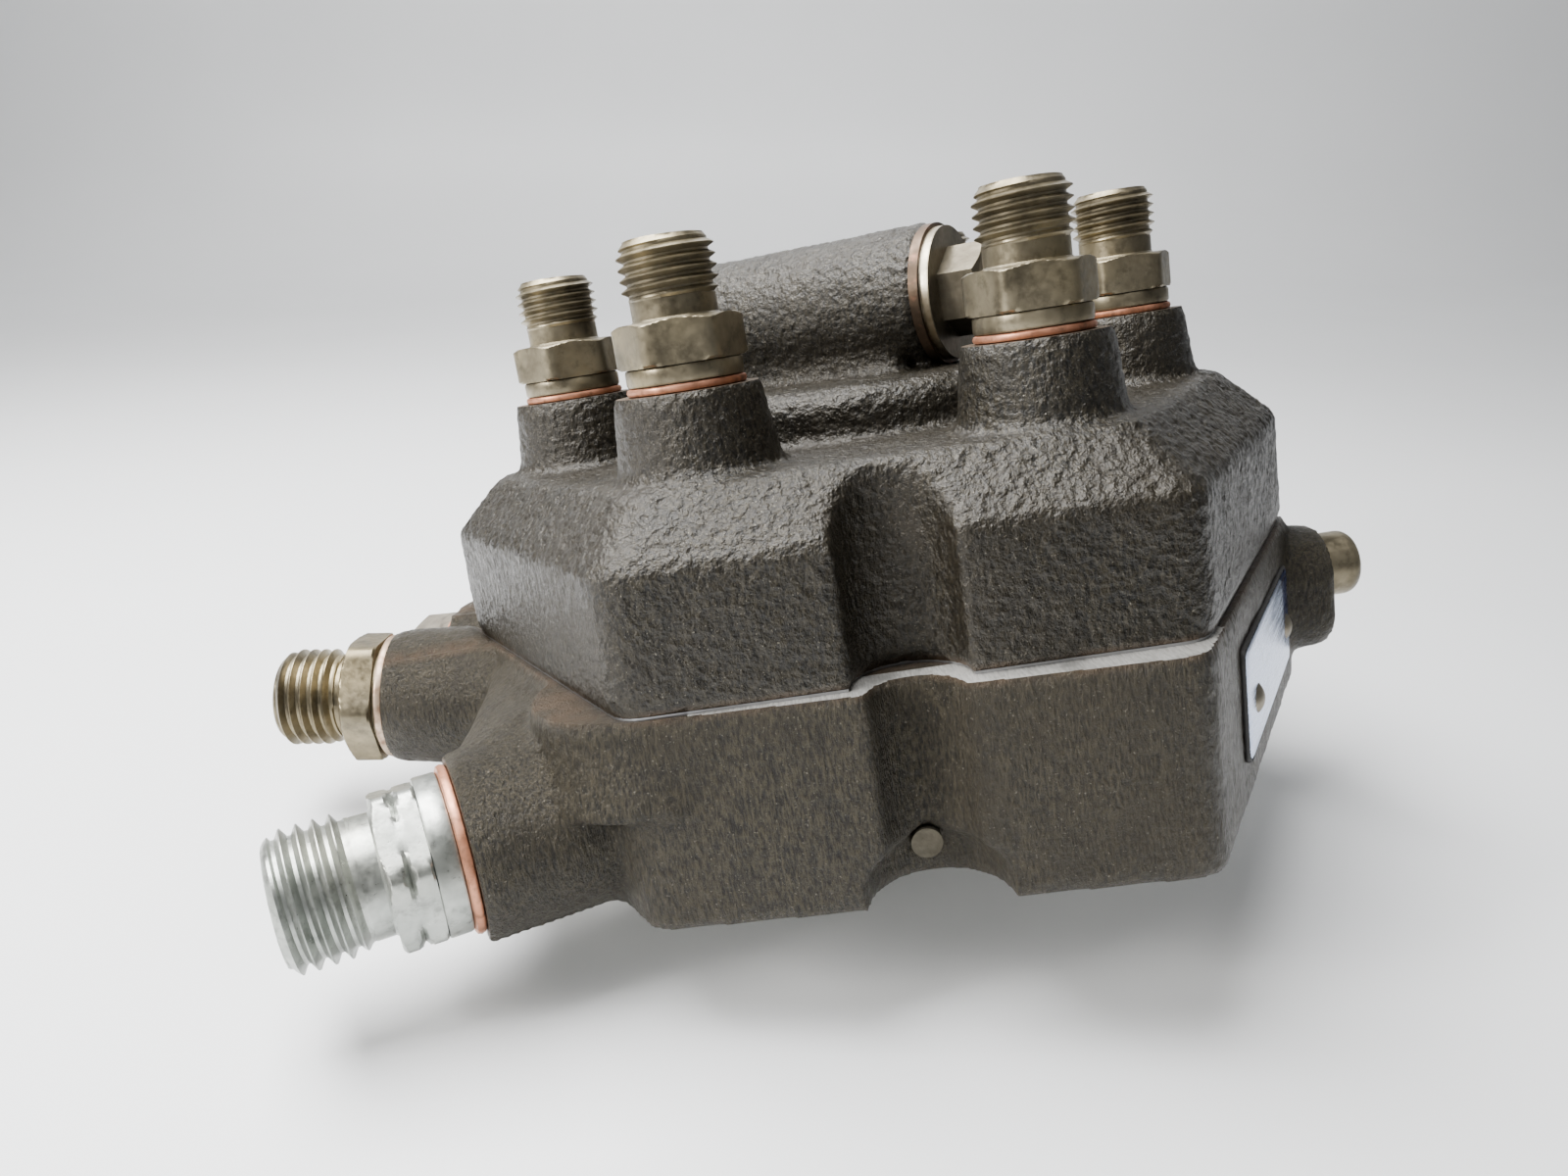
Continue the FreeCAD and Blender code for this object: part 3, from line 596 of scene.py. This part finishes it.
def casting(node, name, key, flats, hold, wrinkle, grain):
    """Remeshed copy of a housing with a cast skin; its machined faces are kept in their planes."""
    src = NODES[node]
    ob = bpy.data.objects.new(name, src.data.copy())
    bpy.context.scene.collection.objects.link(ob)
    mod = ob.modifiers.new("remesh", "REMESH")
    mod.mode = "VOXEL"
    mod.voxel_size = VOXEL * MM
    dg = bpy.context.evaluated_depsgraph_get()
    me = bpy.data.meshes.new_from_object(ob.evaluated_get(dg))
    ob.modifiers.clear()
    ob.data = me
    me.name = name
    nv = len(me.vertices)
    co = np.zeros(nv * 3)
    me.vertices.foreach_get("co", co)
    co = co.reshape(-1, 3) / MM
    nor = np.zeros(nv * 3)
    me.vertices.foreach_get("normal", nor)
    nor = nor.reshape(-1, 3)
    edges = np.zeros(len(me.edges) * 2, int)
    me.edges.foreach_get("vertices", edges)
    edges = edges.reshape(-1, 2)
    deg = np.bincount(edges.ravel(), minlength=nv).astype(float)[:, None]
    sets = []
    for point, normal, reach in flats:
        h, r = plane_heights(co, point, normal)
        facing = nor @ np.array(normal) > 0.55
        sets.append((np.nonzero((np.abs(h) < VOXEL * 0.6) & (r < reach) & facing)[0],
                     np.array(point), np.array(normal)))
    flat = np.zeros(nv, bool)
    for idx, _, _ in sets:
        flat[idx] = True
    weight = 1.0 - hold(co)
    for _ in range(ROUNDS):
        co = co + (neighbours_mean(co, edges, deg) - co) * 0.6 * weight[:, None]
        for idx, point, normal in sets:
            co[idx] -= ((co[idx] - point) @ normal)[:, None] * normal
    me.vertices.foreach_set("co", (co * MM).ravel())
    me.update()
    normals = np.zeros(nv * 3)
    me.vertices.foreach_get("normal", normals)
    normals = normals.reshape(-1, 3)
    free = weight * ~flat
    touch = np.bincount(edges[:, 0], flat[edges[:, 1]], nv) \
        + np.bincount(edges[:, 1], flat[edges[:, 0]], nv)
    free = np.where(touch > 0, free * 0.35, free)
    lift = skin_lift(co, normals, wrinkle, grain) * free
    co = co + normals * lift[:, None]
    me.vertices.foreach_set("co", (co * MM).ravel())
    me.update()
    me.materials.clear()
    for k in (key, "milled", "lip"):
        me.materials.append(MATS[k])
    index = np.zeros(len(me.polygons), int)
    loops = np.zeros(len(me.loops), int)
    me.loops.foreach_get("vertex_index", loops)
    starts = np.zeros(len(me.polygons), int)
    me.polygons.foreach_get("loop_start", starts)
    corners = np.diff(np.append(starts, len(loops)))
    on_flat = np.add.reduceat(flat[loops].astype(int), starts) >= corners
    centre = np.zeros(len(me.polygons) * 3)
    me.polygons.foreach_get("center", centre)
    centre = centre.reshape(-1, 3) / MM
    if node == "lower_housing":
        joint = on_flat & (np.abs(centre[:, 2] - JOINT_Z) < 0.1)
        ledge = joint & (centre[:, 1] < -60) & (centre[:, 0] > -30)
        under = on_flat & (centre[:, 2] < 0.1)
        index[ledge | under | (centre[:, 2] < -0.4)] = 1
        index[on_flat & (centre[:, 2] > 1) & ~ledge] = 2
        index[joint & ~ledge] = 0
    else:
        index[on_flat] = 2
    me.polygons.foreach_set("material_index", index)
    me.polygons.foreach_set("use_smooth", [True] * len(me.polygons))
    bm = bmesh.new()
    bm.from_mesh(me)
    for e in bm.edges:
        f = e.link_faces
        if len(f) == 2 and on_flat[f[0].index] != on_flat[f[1].index]:
            e.smooth = False
    bm.to_mesh(me)
    bm.free()
    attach(ob, "housing")
    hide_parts(node)


def hold_lower(co):
    """1 where the skin stays as drawn: the locating spigot and the bores."""
    x, y, z = co.T
    r = np.hypot(x, y)
    return np.maximum((z < -0.5) * 0.8, (r < BARREL_HOLD) * 1.0)


def hold_upper(co):
    """1 where the skin stays as drawn: the bores of the barrel and of the outlet bosses."""
    x, y, z = co.T
    keep = (np.hypot(x, y) < BARREL_HOLD) * (z < 53) * 1.0
    for a in RING_ANGLES:
        cx, cy = ring_point(a)
        d = np.hypot(x - cx, y - cy)
        keep = np.maximum(keep, (d < 6.8) * (z > 55) * 1.0)
    return keep


casting("lower_housing", "lower_casting", "iron_low", flats_lower(), hold_lower, 0.14, 0.13)
casting("upper_housing", "upper_casting", "iron_up", flats_upper(), hold_upper, 0.30, 0.15)

# ---- fittings, all in mm -----------------------------------------------------------------
OUTLET = dict(washer=1.2, shank_l=13.5, shank_r=6.0, collar_r=8.5, collar_t=2.6, af=17.0, hex_t=6.1,
              neck_r=6.15, neck_t=2.9, thread_r=7.0, thread_t=8.3, pitch=1.5, depth=0.92,
              bore_r=2.6, mouth_r=4.6, chamfer=0.7)
for i, a in enumerate(RING_ANGLES):
    x, y = ring_point(a)
    spec = dict(OUTLET, turn=HEX_TURNS[i] - 90.0)
    fitting("outlet_union_%d" % (i + 1), spec, (x, y, BOSS_TOP), 0, False,
            "zinc_yellow", "outlet_fitting_%d" % (i + 1))

INLET = dict(washer=1.6, shank_l=13.0, shank_r=8.0, collar_r=11.8, collar_t=3.6, af=22.0, hex_t=6.2,
             neck_r=8.9, neck_t=2.9, thread_r=10.1, thread_t=11.5, pitch=2.2, depth=1.3,
             bore_r=4.5, mouth_r=7.2, chamfer=0.8, turn=14.0, notch=True, n=160)
fitting("inlet_union", INLET, INLET_AT, INLET_ANGLE, True, "zinc_clear", "inlet_fitting")
CONTROL = dict(washer=1.6, shank_l=13.0, shank_r=6.0, collar_r=10.5, collar_t=0.5, af=22.0, hex_t=5.9,
               neck_r=7.6, neck_t=1.8, thread_r=9.0, thread_t=11.0, pitch=2.0, depth=1.15,
               bore_r=3.0, mouth_r=6.2, chamfer=1.2, turn=0.0, lift=CONTROL_LIFT)
fitting("control_union", CONTROL, CONTROL_AT, CONTROL_ANGLE, True, "zinc_yellow", "control_fitting")

pts_all, faces_all = [], []
for i, a in enumerate(RING_ANGLES):
    pts, faces = washer(8.75, 6.15, 1.2, seed=i * 3.1)
    x, y = ring_point(a)
    off = len(pts_all)
    pts_all += list(place(pts, (x, y, BOSS_TOP), 0, False))
    faces_all += [tuple(k + off for k in f) for f in faces]
ob = new_object("outlet_gaskets", pts_all, faces_all, "copper")
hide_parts("outlet_washers")
for name, r_out, key, at, angle, lift, r_in, node in (
        ("inlet_gasket", 12.6, "copper", INLET_AT, INLET_ANGLE, 0.0, 8.1, "inlet_washer"),
        ("control_gasket", 11.6, "copper_pale", CONTROL_AT, CONTROL_ANGLE, CONTROL_LIFT, 6.1,
         "control_washer")):
    pts, faces = washer(r_out, r_in, 1.6)
    ob = new_object(name, place(pts, at, angle, True, lift), faces, key)
    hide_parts(node)

# ---- type plate --------------------------------------------------------------------------
PLATE_S0, PLATE_S1, PLATE_Z0, PLATE_Z1 = -22.0, 27.0, 7.4, 24.0
PLATE_D, PLATE_T, PLATE_CROWN, PLATE_CORNER = 67.8, 0.8, 0.45, 1.6


def rounded_rect(s0, s1, z0, z1, r, per=8):
    """Outline of a rectangle with round corners, as pairs (s, z)."""
    out = []
    for cs, cz, a0 in ((s1 - r, z1 - r, 0), (s0 + r, z1 - r, 90),
                       (s0 + r, z0 + r, 180), (s1 - r, z0 + r, 270)):
        for k in range(per + 1):
            a = math.radians(a0 + 90.0 * k / per)
            out.append((cs + r * math.cos(a), cz + r * math.sin(a)))
    return out


def side_point(d, s, z):
    """Point in metres: d out from the axis, s along the right-front side, z up."""
    a = math.radians(PLATE_ANGLE)
    return ((d * math.cos(a) - s * math.sin(a)) * MM,
            (d * math.sin(a) + s * math.cos(a)) * MM, z * MM)


def badge():
    """Thin plate, slightly crowned along its length, with rolled rims and a dark bead round them as
    painted shade.
    """
    sm, half = (PLATE_S0 + PLATE_S1) / 2, (PLATE_S1 - PLATE_S0) / 2
    zm = (PLATE_Z0 + PLATE_Z1) / 2

    def crown(s):
        return PLATE_CROWN * (1.0 - ((s - sm) / half) ** 2)

    pts, faces = [], []
    base = rounded_rect(PLATE_S0, PLATE_S1, PLATE_Z0, PLATE_Z1, PLATE_CORNER)
    m = len(base)
    rings = [(1.0, 0.02, 0.0), (1.0, PLATE_T - 0.15, 1.0)]
    rings += [(1.0 - 0.012 * k, PLATE_T - 0.15 + 0.05 * k, 1.0) for k in (1, 2, 3)]
    rings += [(f, PLATE_T, 1.0) for f in (0.9, 0.75, 0.6, 0.45, 0.3, 0.15)]
    for f, t, c in rings:
        for s, z in base:
            ss, zz = sm + (s - sm) * f, zm + (z - zm) * f
            pts.append(side_point(PLATE_D + t + c * crown(ss), ss, zz))
    for r in range(len(rings) - 1):
        for k in range(m):
            q = (k + 1) % m
            faces.append((r * m + k, r * m + q, (r + 1) * m + q, (r + 1) * m + k))
    faces.append(tuple(range(m))[::-1])
    last = (len(rings) - 1) * m
    pts.append(side_point(PLATE_D + PLATE_T + PLATE_CROWN, sm, zm))
    for k in range(m):
        faces.append((last + k, last + (k + 1) % m, len(pts) - 1))
    ob = new_object("type_badge", pts, faces, "plate", smooth_deg=35.0)
    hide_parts("type_plate")
    # dark bead along the rims: painted shade standing in for the shadow gap round the plate
    path = rounded_rect(PLATE_S0 - 0.35, PLATE_S1 + 0.35, PLATE_Z0 - 0.35, PLATE_Z1 + 0.35,
                        PLATE_CORNER + 0.3, 12)
    pts, faces, n, around = [], [], len(path), 8
    for k, (s, z) in enumerate(path):
        dirs = (s - sm, z - zm)
        ln = math.hypot(*dirs)
        wob = noise.noise(Vector((s * 0.5, z * 0.5, 2.0))) * 0.12
        for j in range(around):
            a = 2 * math.pi * j / around
            q = 0.42 + wob
            pts.append(side_point(PLATE_D + 0.25 + q * math.sin(a),
                                  s + dirs[0] / ln * q * math.cos(a),
                                  z + dirs[1] / ln * q * math.cos(a)))
    for k in range(n):
        here, there = k * around, ((k + 1) % n) * around
        for j in range(around):
            m = (j + 1) % around
            faces.append((here + j, here + m, there + m, there + j))
    new_object("badge_shade_bead", pts, faces, "shade_bead")


badge()


# ---- regulator spring --------------------------------------------------------------------
def regulator_coil():
    """Coil from s0 to s1 along the regulator's axis."""
    s0, s1, travel = -6.9, 11.9, 4.0
    radius, wire, turns = 4.7, 0.65, 7.0
    per, around = 40, 10
    n = int(turns * per)
    pts, faces = [], []
    lead = (s1 - s0 - 2 * wire) / (2 * math.pi * turns)
    for k in range(n + 1):
        t = 2 * math.pi * turns * k / n
        c, sn = math.cos(t), math.sin(t)
        tangent = Vector((-sn * radius, c * radius, lead)).normalized()
        out = Vector((c, sn, 0.0))
        side = tangent.cross(out)
        for j in range(around):
            a = 2 * math.pi * j / around
            p = Vector((c * radius, sn * radius, s0 + wire + lead * t))
            p += out * (wire * math.cos(a)) + side * (wire * math.sin(a))
            pts.append(tuple(p))
    for k in range(n):
        for j in range(around):
            i, m = k * around, (j + 1) % around
            faces.append((i + j, i + m, i + around + m, i + around + j))
    faces.append(tuple(range(around))[::-1])
    faces.append(tuple(range(n * around, n * around + around)))
    ob = new_object("regulator_coil", place(pts, (0, 0, REG_Z), REG_ANGLE), faces, "spring")
    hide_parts("regulator_spring")
    p, u = axis_frame((0.0, 0.0, REG_Z), REG_ANGLE)
    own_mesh(ob)


regulator_coil()

# ---- carried-over CAD nodes --------------------------------------------------------------
KEYS = {
    "diaphragm": "spring", "metering_barrel": "steel", "barrel_seal_lower": "rubber",
    "barrel_seal_upper": "rubber", "control_plunger": "steel", "valve_seats": "steel",
    "valve_springs": "spring", "spring_plates": "spring", "inlet_strainer": "gauze",
    "test_stub": "zinc_yellow", "rear_plug": "zinc_dull", "rear_washer": "copper",
    "regulator_plug": "plug", "regulator_washer": "copper_brown",
    "regulator_shims": "spring", "regulator_piston": "steel", "regulator_seal": "rubber",
    "push_valve": "steel", "push_valve_spring": "spring", "clamp_screws": "black",
    "plate_rivets": "rivet", "seal_pin": "lead",
}
SOFT_EDGES = {"regulator_plug": 0.25, "rear_plug": 0.3, "clamp_screws": 0.25,
              "test_stub": 0.2, "plate_rivets": 0.05}
for node, key in KEYS.items():
    ob = NODES[node]
    paint(ob, key)
    ob.data.polygons.foreach_set("use_smooth", [True] * len(ob.data.polygons))
    ob.data.set_sharp_from_angle(angle=math.radians(30))
    if node in SOFT_EDGES:
        mod = ob.modifiers.new("edges", "BEVEL")
        mod.width = SOFT_EDGES[node] * MM
        mod.segments = 3
        mod.limit_method = "ANGLE"
        mod.angle_limit = math.radians(35)


# ---- stage -------------------------------------------------------------------------------
def add_stage():
    """Pale floor that the part rests on, turning up into a pale wall far behind it."""
    n = Vector(FLOOR_NORMAL).normalized()
    low = min((o.matrix_world @ v.co).dot(n)
              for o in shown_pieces() if o.type == "MESH" for v in o.data.vertices)
    g = Graph("backdrop")
    a = g.mix(g.noise(7.0, 4.0), (0.78, 0.79, 0.80), (0.84, 0.85, 0.86))
    g.set(Base_Color=a, Roughness=0.42)
    g.bump(g.noise(90.0, 3.0), 0.03, 0.0006)
    across = (Vector((1, 0, 0)) - n * n.x).normalized()
    back = n.cross(across).normalized()
    bend, wall = WALL_BEND, WALL_AT
    profile = [(FLOOR_FRONT, 0.0)]
    for k in range(WALL_STEPS + 1):
        t = math.pi / 2 * k / WALL_STEPS
        profile.append((wall - bend + bend * math.sin(t), bend - bend * math.cos(t)))
    profile.append((wall, WALL_TOP))
    pts, faces = [], []
    for y, z in profile:
        for x in (-FLOOR_HALF, FLOOR_HALF):
            pts.append(n * (low + z) + back * y + across * x)
    for k in range(len(profile) - 1):
        faces.append((2 * k, 2 * k + 1, 2 * k + 3, 2 * k + 2))
    me = bpy.data.meshes.new("floor")
    me.from_pydata(pts, [], faces)
    me.polygons.foreach_set("use_smooth", [True] * len(faces))
    ob = bpy.data.objects.new("floor", me)
    bpy.context.scene.collection.objects.link(ob)
    ob.data.materials.append(g.mat)
    ob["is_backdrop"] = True


add_stage()

world = bpy.data.worlds.new("studio")
bpy.context.scene.world = world
world.use_nodes = True
world.node_tree.nodes["Background"].inputs[0].default_value = (0.86, 0.88, 0.90, 1.0)
world.node_tree.nodes["Background"].inputs[1].default_value = 0.20


def area(name, loc, target, size, power, color):
    """Rectangular light, in metres and watts."""
    li = bpy.data.lights.new(name, "AREA")
    li.shape = "RECTANGLE"
    li.size = size[0]
    li.size_y = size[1]
    li.energy = power
    li.color = color
    ob = bpy.data.objects.new(name, li)
    ob.location = Vector(loc)
    ob.rotation_euler = (Vector(target) - Vector(loc)).to_track_quat("-Z", "Y").to_euler()
    bpy.context.scene.collection.objects.link(ob)


area("overhead", (-0.12, -0.05, 0.52), (0, 0.0, 0.05), (0.46, 0.34), 12.0, (1.0, 1.0, 1.0))
area("backdrop", (0.0, 0.75, 1.2), (0.0, 1.3, 0.9), (1.6, 0.3), 16.0, (1.0, 1.0, 1.0))
area("left", (-0.60, -0.36, 0.40), (-0.05, 0, 0.03), (0.20, 0.20), 7.0, (1.0, 0.98, 0.95))

add_camera()

bpy.context.view_layer.update()
